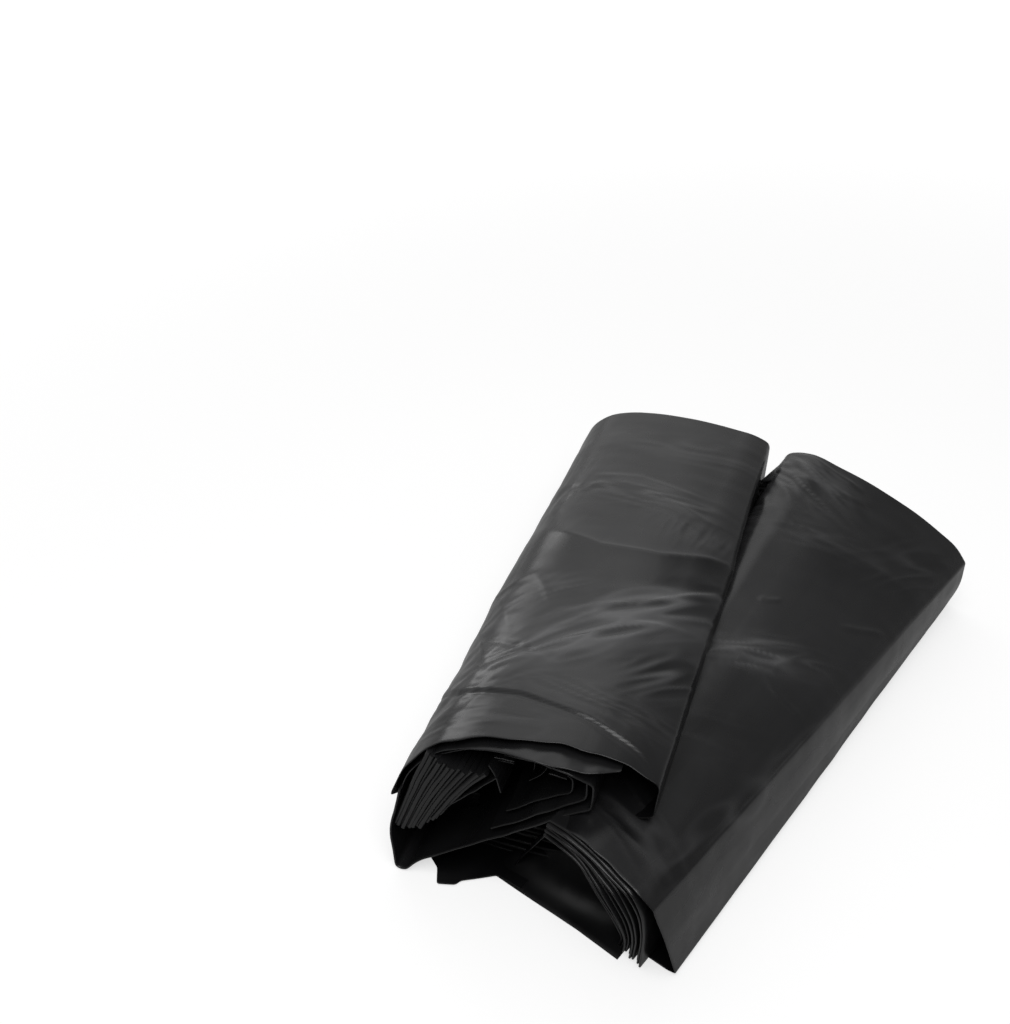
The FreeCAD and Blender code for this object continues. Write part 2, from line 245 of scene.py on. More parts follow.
def shell(middle, half, lip=None, wrap=False):
    """Film of even thickness about a middle surface (along, deep, 3), with rounded edges at its front and
    its back. With lip, its inner face runs only that many rows in from each of them."""
    facing = normals(middle, wrap)
    inwards = wrap and point_inwards(middle, facing)
    if inwards:
        facing = -facing
    last = middle.shape[1] - 1
    reach = last if lip is None else lip

    def edge(station, neighbour, angles):
        """The rows round the film's edge at a station."""
        here, up = middle[:, station], facing[:, station]
        away = unit(here - middle[:, neighbour])
        return [here + half * (math.sin(a) * up + math.cos(a) * away) for a in angles]

    rows = [middle[:, j] - facing[:, j] * half for j in range(reach, -1, -1)]
    rows += edge(0, 1, EDGE_ANGLES)
    rows += [middle[:, j] + facing[:, j] * half for j in range(last + 1)]
    rows += edge(last, last - 1, EDGE_ANGLES[::-1])
    if lip is not None:
        rows += [middle[:, j] - facing[:, j] * half for j in range(last, last - lip - 1, -1)]
    points = np.stack(rows, 1)
    wide, tall = points.shape[:2]
    faces = []
    for i in range(wide if wrap else wide - 1):
        here, there = i * tall, (i + 1) % wide * tall
        for r in range(tall if lip is None else tall - 1):
            up = (r + 1) % tall
            face = (here + r, there + r, there + up, here + up)
            faces.append(face[::-1] if inwards else face)
    if not wrap:
        for i, flip in ((0, 1), (wide - 1, -1)):
            base = i * tall
            inner = [base + reach - j for j in range(reach + 1)]
            rim = [base + reach + 1 + k for k in range(EDGE_ROWS)]
            outer = [rim[-1] + 1 + j for j in range(last + 1)]
            faces.append(tuple([inner[0], *rim, outer[0]][::flip]))
            for j in range(reach):
                faces.append((inner[j + 1], inner[j], outer[j], outer[j + 1])[::flip])
            if lip is None:
                back = [outer[-1] + 1 + k for k in range(EDGE_ROWS)]
                faces.append(tuple([outer[last], *back, inner[last]][::flip]))
    return points, faces


def sheet(rim, depth, steps, half, waves, **options):
    """Film that runs back from a rim, with waves in it."""
    return shell(waved(swept(rim, depth, steps, **options), waves), half)


def capped(grid):
    """The points and faces of a closed tube (along, deep, 3) with a fan of triangles over each end."""
    wide, tall = grid.shape[:2]
    faces = [
        (i * tall + j, (i + 1) % wide * tall + j, (i + 1) % wide * tall + j + 1, i * tall + j + 1)
        for i in range(wide) for j in range(tall - 1)
    ]
    for i in range(wide):
        follow = (i + 1) % wide
        faces.append((wide * tall, follow * tall, i * tall))
        faces.append((wide * tall + 1, i * tall + tall - 1, follow * tall + tall - 1))
    centres = np.stack((grid[:, 0].mean(0), grid[:, -1].mean(0)))
    return np.concatenate((grid.reshape(-1, 3), centres)), faces


def add_mesh(name, parts, side, material, main=False):
    """One object from parts of (points, faces) in a lobe's coordinates."""
    points, faces, start = [], [], 0
    for part_points, part_faces in parts:
        points.append(part_points.reshape(-1, 3))
        faces.extend(tuple(start + index for index in face) for face in part_faces)
        start += len(points[-1])
    mesh = bpy.data.meshes.new(name)
    mesh.from_pydata(in_row(side, np.concatenate(points)).tolist(), [], faces)
    mesh.polygons.foreach_set("use_smooth", [True] * len(mesh.polygons))
    mesh.set_sharp_from_angle(angle=SHARP_ANGLE)
    mesh.materials.append(material)
    mesh.update()
    piece = bpy.data.objects.new(name, mesh)
    bpy.context.scene.collection.objects.link(piece)
    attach(piece, "root")
    if main:
        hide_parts("bag_roll")
    return piece


# The colour of the painted sheen: the black film painted paler where it should catch light, as painted
# highlight.
SHEEN_TONE = (0.08, 0.08, 0.082, 1)


def film_material(name, dark, light, rough, bump, fine, gloss_level=0.5):
    """Black film: its tone and its gloss vary softly, and fine crinkles lie in its surface. Where a mesh has
    its sheen attribute, the film is painted paler: painted sheen and highlights."""
    material = bpy.data.materials.new(name)
    material.use_nodes = True
    tree = material.node_tree
    tree.nodes.clear()
    new, link = tree.nodes.new, tree.links.new
    output = new("ShaderNodeOutputMaterial")
    surface = new("ShaderNodeBsdfPrincipled")
    surface.inputs["IOR"].default_value = 1.5
    surface.inputs["Specular IOR Level"].default_value = gloss_level
    link(surface.outputs["BSDF"], output.inputs["Surface"])
    place = new("ShaderNodeTexCoord")
    stretch = new("ShaderNodeMapping")
    stretch.inputs["Scale"].default_value = (1.0, 0.55, 1.0)
    link(place.outputs["Object"], stretch.inputs["Vector"])

    def clouds(scale, detail, distortion=0.0, kind="FBM"):
        node = new("ShaderNodeTexNoise")
        node.noise_type = kind
        node.inputs["Scale"].default_value = scale
        node.inputs["Detail"].default_value = detail
        node.inputs["Distortion"].default_value = distortion
        link(stretch.outputs["Vector"], node.inputs["Vector"])
        return node.outputs["Fac"]

    def raised(height, strength, distance):
        node = new("ShaderNodeBump")
        node.inputs["Strength"].default_value = strength
        node.inputs["Distance"].default_value = distance
        link(height, node.inputs["Height"])
        return node

    tone = new("ShaderNodeValToRGB")
    first, last = tone.color_ramp.elements
    first.position, first.color = 0.35, (*dark, 1)
    last.position, last.color = 0.7, (*light, 1)
    link(clouds(14, 3), tone.inputs["Fac"])
    painted_sheen = new("ShaderNodeAttribute")
    painted_sheen.attribute_name = "painted_sheen"
    sheened = new("ShaderNodeMix")
    sheened.data_type = "RGBA"
    factor, plain, paler, colour = sheened.inputs[0], sheened.inputs[6], sheened.inputs[7], sheened.outputs[2]
    paler.default_value = SHEEN_TONE
    link(painted_sheen.outputs["Fac"], factor)
    link(tone.outputs["Color"], plain)
    link(colour, surface.inputs["Base Color"])
    gloss = new("ShaderNodeMapRange")
    gloss.inputs["From Min"].default_value, gloss.inputs["From Max"].default_value = 0.3, 0.7
    gloss.inputs["To Min"].default_value, gloss.inputs["To Max"].default_value = rough
    link(clouds(22, 4, 0.6), gloss.inputs["Value"])
    link(gloss.outputs["Result"], surface.inputs["Roughness"])
    soft = raised(clouds(30, 2, 0.8), bump, 0.004)
    crinkle = raised(clouds(26, 3, 0.5, "RIDGED_MULTIFRACTAL"), fine, 0.0006)
    link(soft.outputs["Normal"], crinkle.inputs["Normal"])
    link(crinkle.outputs["Normal"], surface.inputs["Normal"])
    return material


OUTER = film_material(
    "outer_film", dark=(0.004, 0.004, 0.0045), light=(0.008, 0.008, 0.0085), rough=(0.22, 0.33),
    bump=0.06, fine=0.22,
)
# The inner film is the same black film painted darker and less glossy: painted shade for the hollows, inner
# faces and fillings.
SHADED_FILM = film_material(
    "shaded_inner_film", dark=(0.002, 0.002, 0.0023), light=(0.004, 0.004, 0.0044), rough=(0.32, 0.44),
    bump=0.08, fine=0.2, gloss_level=0.17,
)
# The leaf film is the same black film painted a little paler than the outer film: painted highlight on the
# leaves and folds at the ends.
LIT_LEAF = film_material(
    "lit_leaf_film", dark=(0.005, 0.005, 0.0054), light=(0.012, 0.012, 0.0126), rough=(0.24, 0.36),
    bump=0.08, fine=0.2,
)

# The outer films: the outline of each at its front edge and at its back edge.
LEFT_FRONT = [
    (-136, -192, 0.8, 6), (-118, -190, 0.8, 6), (-40, -172, 64, 10), (8, -192, 86, 6),
    (27, -210, 87, 5), (37.5, -209.5, 93, 5), (39, -203, 119, 5), (17, -200, 127.5, 14),
    (-20, -201, 133, 20), (-70, -206, 127.5, 20), (-98, -210, 120, 12), (-121, -216, 108.5, 12),
    (-139, -223, 86, 10), (-147, -232, 62, 5), (-146, -208, 40, 10), (-142, -192, 13, 8),
]
LEFT_BACK = [
    (-136, 249, 0.8, 6), (-112, 249, 0.8, 6), (-40, 249, 0.8, 10), (8, 249, 0.8, 6),
    (30, 249, 0.8, 5), (38, 249, 9, 5), (38.5, 249, 96, 6), (22, 249, 103, 12),
    (-20, 249, 107, 20), (-70, 249, 106, 20), (-98, 249, 102, 12), (-121, 249, 94, 12),
    (-138, 249, 78, 10), (-146, 249, 57, 8), (-147, 249, 36, 10), (-143, 249, 12, 8),
]
RIGHT_FRONT = [
    (24, -224, 0.8, 3), (155, -217, 0.8, 2), (161.5, -217, 3.5, 1.5), (153, -223, 42, 12),
    (143.5, -228, 73, 1.6), (133, -229, 81.5, 6), (112, -226, 85, 12), (90, -224, 88, 10),
    (74, -224, 88, 5), (60, -222, 82, 4), (26, -222, 8, 4),
]
RIGHT_BACK = [
    (-28, 256, 0.8, 5), (138, 256, 0.8, 6), (149, 256, 8, 6), (153, 256, 30, 10),
    (151.5, 256, 53, 2), (139, 256, 66, 9), (104, 256, 80, 16), (45, 256, 93.5, 16),
    (-12, 256, 98.5, 14), (-38, 256, 86, 9), (-44, 256, 16, 8),
]

# Folds: kind, height, width and the line that each follows. The first two are the weld across the front.
LEFT_FOLDS = [
    ("step", 1.2, 7, [(-150, -140), (-120, -160), (-72, -161), (-16, -172), (20, -184), (40, -200)]),
    ("ridge", -1.1, 2.6, [
        (-150, -144), (-120, -163.5), (-72, -164.5), (-16, -175.5), (20, -188), (36, -198),
    ]),
    ("ridge", 0.6, 3.4, [(-60, -150), (-20, -156), (16, -170), (36, -188)]),
    ("kink", 3.0, 26, [(-140, 54), (-110, 40), (-67, 20), (-17, 22), (60, 50)]),
    ("step", 0.6, 6, [(60, 50), (-17, 22), (-67, 20), (-130, 45)]),
    ("ridge", 1.1, 4, [(-135, 92), (-94, 115), (-57, 113), (-7, 93), (20, 80)]),
    ("ridge", 0.7, 4, [(-110, 128), (-60, 131), (10, 112)]),
    ("step", 0.7, 7, [(-80, 84), (-40, 88), (10, 68)]),
    ("step", 2.0, 13, [(46, 8), (-17, -44), (-78, -69)]),
    ("step", 1.6, 12, [(8, -58), (-37, -87), (-70, -116), (-112, -142)]),
    ("step", 0.8, 8, [(46, -52), (3, -62), (-40, -72), (-84, -66)]),
    ("ridge", 0.5, 3.0, [(-112, -19), (-98, -36), (-80, -64)]),
    ("ridge", 0.5, 4.0, [(-150, -42), (-128, -26), (-98, -19)]),
    ("ridge", -0.9, 2.2, [(-130, -96), (-116, -106), (-86, -115), (-52, -126)]),
    ("kink", 1.6, 8, [(-160, 10), (-132, -44), (-104, -98)]),
    ("step", 0.8, 6, [(-140, -70), (-118, -120), (-96, -152)]),
]
# The last one is the groove inside the crease along the right lobe's top edge.
RIGHT_FOLDS = [
    ("kink", 2.8, 9, [(40, -40), (60, -19), (84, 6), (108, 32)]),
    ("kink", 2.0, 7, [(112, 36), (98, -4), (62, -26)]),
    ("ridge", 0.9, 2.2, [(112, 78), (126, 90), (142, 108)]),
    ("ridge", 1.2, 3, [(-36, 250), (-2, 232), (36, 222), (60, 224)]),
    ("ridge", 1.1, 2.6, [(-34, 238), (-4, 220), (24, 205)]),
    ("ridge", 1.1, 2.6, [(-30, 254), (10, 246), (52, 240)]),
    ("ridge", 1.0, 3, [(-40, 222), (-14, 200), (10, 180)]),
    ("ridge", 0.9, 3, [(-36, 200), (-16, 176), (0, 150)]),
    ("kink", 1.6, 18, [(-20, 170), (50, 150), (150, 168)]),
    ("ridge", 0.7, 1.8, [(50, 52), (58, 56), (67, 64)]),
    ("ridge", 0.7, 1.8, [(96, -14), (112, -21), (140, -25)]),
    ("ridge", -0.6, 1.1, [(142.5, -231), (147, 14), (151, 256)]),
]

# Where the film is painted a little paler, as painted sheen and highlights: behind a line across the left lobe,
# by the edge amount below, and in patches (amount, x, y, half length, half width, angle).
SHEEN_EDGE = [(-147, 62), (-110, 46), (-67, 20), (-17, 22), (60, 50)]
EDGE_SHEEN = 0.09
LEFT_SHEEN = [
    (0.4, 4, -60, 56, 24, 24), (0.14, -64, -104, 60, 40, 36), (0.1, -10, -150, 70, 26, -6),
    (0.14, -122, -90, 60, 26, 60),
]
RIGHT_SHEEN = [(0.13, 60, 40, 90, 100, 0), (0.25, 88, 0, 32, 12, 30)]

# Patches of crinkles: height, x, y, half length, half width, angle, wave.
LEFT_CRINKLES = [
    (1.9, -6, -38, 58, 20, 31, 12), (1.8, -64, -102, 58, 22, 37, 11), (0.7, -122, -80, 48, 22, 48, 13),
    (0.5, -106, -34, 28, 14, 25, 10), (0.6, -122, -158, 56, 26, 56, 12), (0.9, -55, 108, 66, 18, -6, 10),
    (0.5, -20, -152, 60, 12, -6, 6), (0.5, -124, 110, 44, 14, 80, 9), (0.5, -20, 190, 60, 20, 4, 12),
    (1.2, 18, -108, 30, 18, 46, 10), (0.6, -80, -40, 24, 12, 30, 7), (0.6, -90, -196, 44, 16, 8, 7),
    (0.4, 30, 60, 16, 60, 80, 7), (1.5, -26, -78, 56, 18, 35, 11),
]
RIGHT_CRINKLES = [
    (1.2, -2, 222, 46, 28, -24, 8), (1.1, 84, 4, 36, 14, 34, 8), (0.7, 152, -40, 190, 9, 84, 10),
    (0.45, 104, -190, 36, 18, -14, 8), (0.35, 40, 150, 40, 20, 20, 9), (0.35, 120, 190, 40, 20, 60, 10),
    (0.3, 60, -110, 50, 20, 30, 10), (0.4, -14, 130, 14, 60, 10, 7), (0.4, 156, -150, 60, 6, 90, 7),
]

# An outer film's mesh: its cell round the lobe, its steps along it, fine near the ends, and half its thickness.
SKIN_CELL, SKIN_LENGTH = 2.2, 450
FINE_STEP, COARSE_STEP = 1.9, 2.5
FRONT_ZONE, BACK_ZONE = 66, 18
SKIN_HALF = 0.45

# Its sags (height, scale, seed), and the small ones on the left lobe's shoulder.
SAGS = ((1.3, (90, 120, 70), 0), (0.45, (60, 30, 40), 3), (0.16, (34, 11, 20), 7))
SHOULDER_SAG = (0.9, (20, 9, 14), 91.0)


def stations():
    """How far each row of an outer film lies from its front edge."""
    start, end = FRONT_ZONE, SKIN_LENGTH - BACK_ZONE
    front = np.linspace(0, start, math.ceil(FRONT_ZONE / FINE_STEP) + 1)
    middle = np.linspace(start, end, math.ceil((end - start) / COARSE_STEP) + 1)[1:]
    back = np.linspace(end, SKIN_LENGTH, math.ceil(BACK_ZONE / FINE_STEP) + 1)[1:]
    return np.concatenate((front, middle, back))


def skin(name, front, back, side, lines, patches, sheen_patches, seed):
    """An outer film from its front edge to its back edge, with its sags, folds, crinkles and paler places of
    painted sheen.
    """
    steps = stations()
    grid = ruled(front, back, SKIN_CELL, steps)
    x, y, z = grid[..., 0], grid[..., 1], grid[..., 2]
    above_floor = ramp(z, 3, 14)
    on_top = ramp(z, 40, 30)
    from_edge = ramp(steps, 0, 26)[None, :]
    sag = sum(height * ripple(grid, scale, seed + shift) for height, scale, shift in SAGS)
    if side == LEFT:
        height, scale, shoulder_seed = SHOULDER_SAG
        shoulder = np.exp(-((x + 128) / 34) ** 2) * np.exp(-((y + 150) / 70) ** 2)
        sag += height * shoulder * ripple(grid, scale, shoulder_seed)
    lift = sag * above_floor * (0.35 + 0.65 * from_edge) + folds(grid[..., :2], lines) * on_top
    crests, painted_sheen = crinkles(grid, patches)
    lift += crests * above_floor * (0.2 + 0.8 * from_edge)
    # Painted sheen: patches painted paler as highlights, and on the left lobe the film behind the line, as if
    # it caught more light.
    for amount, *place in sheen_patches:
        painted_sheen += amount * patch(grid, *place)[2]
    if side == LEFT:
        painted_sheen += EDGE_SHEEN * np.clip(across_line(grid[..., :2], SHEEN_EDGE)[0] / 3 + 0.5, 0, 1)
    wobble = np.exp(-steps / 12)[None, :] * ramp(z, 60, 20)
    grid[..., 1] += 1.8 * wobble * ripple(grid * (1, 0.1, 1), (17, 30, 17), seed + 5)
    grid = lifted(grid, lift, wrap=True)
    points, faces = shell(grid, SKIN_HALF, lip=LIP_ROWS, wrap=True)
    piece = add_mesh(name, [(points, faces)], side, OUTER, True)
    # The inner faces near the edges take the inner film, painted darker as shade.
    piece.data.materials.append(SHADED_FILM)
    bands = points.shape[1] - 1
    band = np.arange(len(faces)) % bands
    inside = (band < LIP_ROWS) | (band >= bands - LIP_ROWS)
    piece.data.polygons.foreach_set("material_index", inside.astype(int).tolist())
    # The painted sheen is stored on the outer face's points for the material.
    values = np.zeros(points.shape[:2])
    values[:, OUTER_ROW:OUTER_ROW + grid.shape[1]] = np.clip(painted_sheen, 0, 1)
    piece.data.attributes.new("painted_sheen", "FLOAT", "POINT").data.foreach_set("value", values.ravel().tolist())


skin("left_film", LEFT_FRONT, LEFT_BACK, LEFT, LEFT_FOLDS, LEFT_CRINKLES, LEFT_SHEEN, 11.3)
skin("right_film", RIGHT_FRONT, RIGHT_BACK, RIGHT, RIGHT_FOLDS, RIGHT_CRINKLES, RIGHT_SHEEN, 47.9)


def core(name, front, back, side, start, end):
    """A closed filling inside a lobe, painted dark as shade, which the leaves at its ends lie against. It runs
    from start to end and lies inset inside the film, at least clear above the floor."""
    cell, inset, clear = 8, 10, 2
    lobe_start, lobe_length = -230, 480
    steps = np.linspace(0, 1, 12)
    grid = ruled(front, back, cell, steps)
    middle = grid.mean(0, keepdims=True)
    grid = grid + unit(middle - grid) * inset * np.array([1, 0, 1])
    y = start + (end - start) * steps
    share = ((y - lobe_start) / lobe_length)[None, :, None]
    grid = grid[:, :1] * (1 - share) + grid[:, -1:] * share
    grid[..., 1] = y[None, :]
    grid[..., 2] = np.maximum(grid[..., 2], clear)
    add_mesh(name, [capped(grid)], side, SHADED_FILM)


core("left_core", LEFT_FRONT, LEFT_BACK, LEFT, -160, 215)
core("right_core", RIGHT_FRONT, RIGHT_BACK, RIGHT, -190, 220)

# The second bag of the left lobe, whose edge stands out below the outer film.
SECOND = [
    (-142, -230, 58, 0), (-136, -224, 82, 8), (-118, -216, 103.5, 10), (-97, -214, 114, 12),
    (-74, -213.5, 120.5, 14), (-46, -217.5, 126.5, 14), (-25, -217.5, 127.5, 12), (-5, -214, 125.5, 8),
    (12, -203, 123.5, 0),
]
SECOND_WAVES = [(1.1, (15, 18, 15), 5.1), (0.3, (6, 9, 6), 1.7)]
add_mesh("left_second_film", [sheet(SECOND, 56, 24, 0.5, SECOND_WAVES)], LEFT, LIT_LEAF)

# The rolled-in turn: from the outer side round the foot, up the tongue, round its right end and back.
TURN = [
    (-139.5, -231, 70, 0), (-145.5, -240, 34, 10), (-139, -248.5, 1.6, 4), (-131, -248.5, 1.6, 4),
    (-121, -243.5, 13, 6), (-100, -238.5, 27, 8), (-85, -235, 37, 6), (-69, -230.5, 47.5, 6),
    (-58, -228, 53, 6), (-38, -225, 70, 8), (-22.5, -222, 82, 6), (-2.8, -217.7, 93.5, 2.5),
    (-3.8, -212.5, 112, 3), (-18, -216, 121.5, 8), (-46, -214, 123, 10), (-75, -210, 116.5, 10),
    (-98, -210.5, 110, 8), (-116, -214, 99, 0),
]
TURN_WAVES = [(0.9, (20, 30, 20), 8.2), (0.15, (8, 16, 8), 2.2)]
add_mesh("left_turn", [sheet(TURN, 62, 26, 0.8, TURN_WAVES)], LEFT, LIT_LEAF)

# Smaller folds nested in the turn's right end.
NESTED = (
    [
        (-72, -226, 51, 0), (-58, -223.5, 60, 6), (-38, -220.5, 76, 8), (-22, -217, 88, 6),
        (-7.5, -213, 97, 3), (-8.5, -208, 109, 3), (-24, -209, 117, 8), (-60, -208, 114, 0),
    ],
    [
        (-64, -216, 62, 0), (-42, -211, 78, 8), (-20, -207, 92, 3), (-21, -203, 101, 3),
        (-44, -204, 109, 8), (-70, -204, 106, 0),
    ],
)
add_mesh("left_turn_folds", [
    sheet(rim, 42, 12, 0.8, [(1.6, (16, 24, 16), 20 + number)]) for number, rim in enumerate(NESTED)
], LEFT, LIT_LEAF)

# The leaves that fan up from the foot of the left lobe: their feet and their tips, evenly shared out.
FAN_FEET = [(-139, -235, 46), (-134, -235, 44), (-128, -234, 45), (-120, -233, 48), (-107, -228, 62)]
FAN_TIPS = [(-121, -217, 104), (-113, -218, 99), (-104, -218, 95.5), (-93, -217, 95), (-79, -216, 96.5)]
FAN_LEAVES = 12


def between(places, share):
    """The place at a share of the way along evenly spaced ones."""
    spread = np.linspace(0, 1, len(places))
    return [np.interp(share, spread, [place[k] for place in places]) for k in range(3)]


def fan_leaf(leaf):
    foot = between(FAN_FEET, leaf / (FAN_LEAVES - 1))
    tip = between(FAN_TIPS, leaf / (FAN_LEAVES - 1))
    middle = [(a + b) / 2 for a, b in zip(foot, tip)]
    bow = 1.5 * math.sin(leaf * 2.1)
    step = 1.3 * math.sin(leaf * 3.7)
    rim = [
        (foot[0] - 3, foot[1] + step, foot[2] - 9, 0),
        (middle[0] - 1.5 + bow * 0.4, middle[1] + step, middle[2] + bow * 0.3, 14),
        (tip[0], tip[1] + step, tip[2], 0),
    ]
    return sheet(rim, 50, 14, 1.95, [(0.4, (16, 20, 16), 31 + leaf)], pull=3 * math.sin(leaf))


add_mesh("left_fan_leaves", [fan_leaf(leaf) for leaf in range(FAN_LEAVES)], LEFT, LIT_LEAF)

# Loose film beside the fan, inside the turn.
LOOSE = (
    [(-112, -231, 50, 0), (-104, -227, 63, 8), (-88, -222, 79, 8), (-71, -216, 95, 0)],
    [(-77, -214, 104, 0), (-74, -214, 98, 3), (-70, -216, 90, 4), (-68, -217, 82, 0)],
    [(-76, -208, 106, 0), (-62, -206, 105, 0)],
    [(-74, -204, 99, 0), (-63, -203, 99, 0)],
    [(-52, -192, 84, 0), (-50, -190, 104, 0)],
    [(-54, -196, 76, 0), (-44, -194, 86, 4), (-40, -194, 100, 0)],
    [(-36, -208, 106, 0), (-24, -207, 104, 0)],
)
add_mesh("left_loose_film", [
    sheet(rim, 34, 10, 0.6, [(0.9, (9, 16, 9), 60 + number)], cell=1.8) for number, rim in enumerate(LOOSE)
], LEFT, LIT_LEAF)

# The right lobe's stack: leaves between an outer and an inner path (x, z, radius), which turn down at the
# outer side. Their front edges lie at the stations.
STACK_OUTER = [
    (54, 82, 0), (70, 85.5, 6), (92, 83.5, 10), (129, 78, 7), (138.5, 64, 9), (141, 38, 10), (140, 2.5, 0),
]
STACK_INNER = [
    (50, 62, 0), (64, 63, 6), (80, 60.5, 9), (98, 47, 10), (116.5, 29, 9), (123, 15, 6), (120, 2.5, 0),
]
STACK_STATIONS = [-224, -225, -225, -229, -229.5, -228, -227]
STACK_LEAVES = 10


def stack_leaf(leaf):
    share = (leaf + 0.25 * math.sin(leaf * 2.3)) / (STACK_LEAVES - 1)
    rim = []
    for outer, inner, station in zip(STACK_OUTER, STACK_INNER, STACK_STATIONS):
        x = outer[0] + (inner[0] - outer[0]) * share
        z = outer[1] + (inner[1] - outer[1]) * share
        rim.append((x, station + 1.6 * math.sin(leaf * 1.9 + x * 0.03) + 1.5 * share, z, outer[2]))
    return sheet(rim, 46, 14, 0.85, [(0.35, (18, 24, 18), 80 + leaf)], fall=0)


add_mesh("right_stack_leaves", [stack_leaf(leaf) for leaf in range(STACK_LEAVES)], RIGHT, LIT_LEAF)

# The film in the right lobe's mouth: places across it, with the height that it rises to there, its front edge
# and how crumpled it is, and its height in front and its depth.
MOUTH_TOP = [16, 34, 50, 64, 80, 98, 116.5, 123, 125], [22, 44, 58, 60, 57, 44, 27, 13, 8]
MOUTH_EDGE = [16, 58, 91, 125], [-238.5, -236, -233.5, -233]
MOUTH_CRUMPLE = [16, 60, 90], [1, 0.7, 0.2]
MOUTH_FOOT, MOUTH_DEPTH = 0.9, 46


def mouth():
    """The bottom bag in the right lobe's mouth: it rises from the floor line to the stack's innermost leaf."""
    across = np.linspace(16, 125, 60)
    rise = np.linspace(0, 1, 26)
    top = np.interp(across, *MOUTH_TOP)[:, None]
    edge = np.interp(across, *MOUTH_EDGE)[:, None]
    x = across[:, None] + np.zeros_like(rise)[None, :]
    y = edge + MOUTH_DEPTH * rise[None, :] ** 0.8
    z = MOUTH_FOOT + (top - MOUTH_FOOT) * rise[None, :] ** 2.4
    grid = np.stack((x, y, z), -1)
    crumple = ramp(rise, 0.25, 0.5)[None, :] * np.interp(across, *MOUTH_CRUMPLE)[:, None]
    sag = 0.8 * ripple(grid, (34, 40, 34), 3.5)
    return shell(lifted(grid, 2.2 * crumple * ripple(grid, (13, 22, 13), 14.5) + sag), 0.6)


add_mesh("right_mouth_film", [mouth()], RIGHT, SHADED_FILM)

# The bottom flap on the floor, from its front edge back under the lobes: x, y and radius.
FLAP_FRONT = [
    (-27, -259, 0), (-18, -262, 2), (-9, -272, 2), (2, -264, 2), (3, -259, 2), (20, -238.5, 2), (40, -236, 0),
]
FLAP_BACK = [
    (-88, 236, 0), (-70, 236, 2), (-50, 236, 2), (-30, 236, 2), (-10, 236, 2), (20, 236, 2), (42, 236, 0),
]
FLAP_HEIGHT = 1.2


def flap():
    front, back = ([(x, y, FLAP_HEIGHT, r) for x, y, r in edge] for edge in (FLAP_FRONT, FLAP_BACK))
    grid = ruled(front, back, 2.5, np.linspace(0, 1, 90) ** 1.5, closed=False)
    grid[..., 2] += ripple(grid, (16, 20, 16), 9.4) + 0.5
    return shell(grid, 0.5)


add_mesh("bottom_flap", [flap()], RIGHT, SHADED_FILM)

# The stack's middle under the leaning front of the left lobe.
MIDDLE_LEAVES = 11


def middle_leaf(leaf):
    z = 3 + leaf * 4.6
    x = -110 + z * 1.25
    y = -208 + 2.0 * math.sin(leaf * 2.7)
    rim = [(x, y + 4, z + 1, 0), (x + 8, y, z, 5), (-30, y, z + 1, 8), (-14 + z * 0.03, y + 2, z + 5, 0)]
    return sheet(rim, 50, 10, 1.3, [(0.6, (20, 24, 20), 120 + leaf)], fall=0)


def curtain(across, upright, y, height, seed):
    """An upright sheet across a lobe. across and upright give its range and its number of points each way."""
    x, z = np.meshgrid(np.linspace(*across), np.linspace(*upright), indexing="ij")
    waves = ripple(np.stack((x, z, z), -1), (14, 20, 20), seed)
    return shell(np.stack((x, y + height * waves, z), -1), 0.6)


# The first curtain closes the slit between the lobes at the back, the second one lies in the turn's foot.
add_mesh("middle_leaves", [middle_leaf(leaf) for leaf in range(MIDDLE_LEAVES)] + [
    curtain((33, 52, 10), (1, 66, 30), 228, 2, 4.4),
    curtain((-143, -92, 20), (1.5, 44, 18), -197, 1.5, 6.6),
], LEFT, SHADED_FILM)

# The closed filling of the stack's middle: x, z and radius at its front and at its back, and their stations.
FILLING_FRONT = [(-112, 0.8, 2), (-20, 0.8, 2), (-14, 76, 4)]
FILLING_BACK = [(-102, 0.8, 2), (26, 0.8, 2), (26, 19, 4)]
FILLING_ENDS = (-200, 244)
front, back = (
    [(x, y, z, r) for x, z, r in outline] for outline, y in zip((FILLING_FRONT, FILLING_BACK), FILLING_ENDS)
)
add_mesh("stack_middle", [capped(ruled(front, back, 5, np.linspace(0, 1, 14)))], LEFT, SHADED_FILM)


def nested_ends(name, outline, spine, side, count, seed):
    """The folded bags at a lobe's back end: each is turned over round the lobe's outer side, one inside the
    other. outline runs round the outer side from the lobe's inner side, and spine, two points (x, z), is the
    line they close on."""
    corners = np.array(outline, float)
    start, end = np.array(spine, float)
    way = end - start
    share = np.clip((corners[:, [0, 2]] - start) @ way / (way @ way), 0, 1)
    near = start + share[:, None] * way
    parts = []
    for leaf in range(1, count + 1):
        keep = 1 - leaf / (count + 0.6)
        rim = corners.copy()
        rim[:, [0, 2]] = near + (corners[:, [0, 2]] - near) * keep
        rim[[0, -1], 0] += 2.5 * np.sin([leaf * 1.7 + seed, leaf * 2.9 + seed])
        rim[:, 1] -= 2 + 2.5 * abs(math.sin(leaf * 2.4 + seed))
        parts.append(sheet(rim, -44, 11, 1.1, [(0.7, (22, 30, 22), seed + leaf)], fall=0, cell=4))
    add_mesh(name, parts, side, LIT_LEAF)


LEFT_NEST = [(33, 249, 97, 0)] + LEFT_BACK[7:] + LEFT_BACK[:4] + [(34, 249, 1.5, 0)]
RIGHT_NEST = [(-37, 256, 84, 0)] + RIGHT_BACK[8:0:-1] + [(-36, 256, 1.5, 0)]
nested_ends("left_back_leaves", LEFT_NEST, [(-98, 50), (34, 50)], LEFT, 12, 3.0)
nested_ends("right_back_leaves", RIGHT_NEST, [(-36, 46), (112, 32)], RIGHT, 11, 5.0)


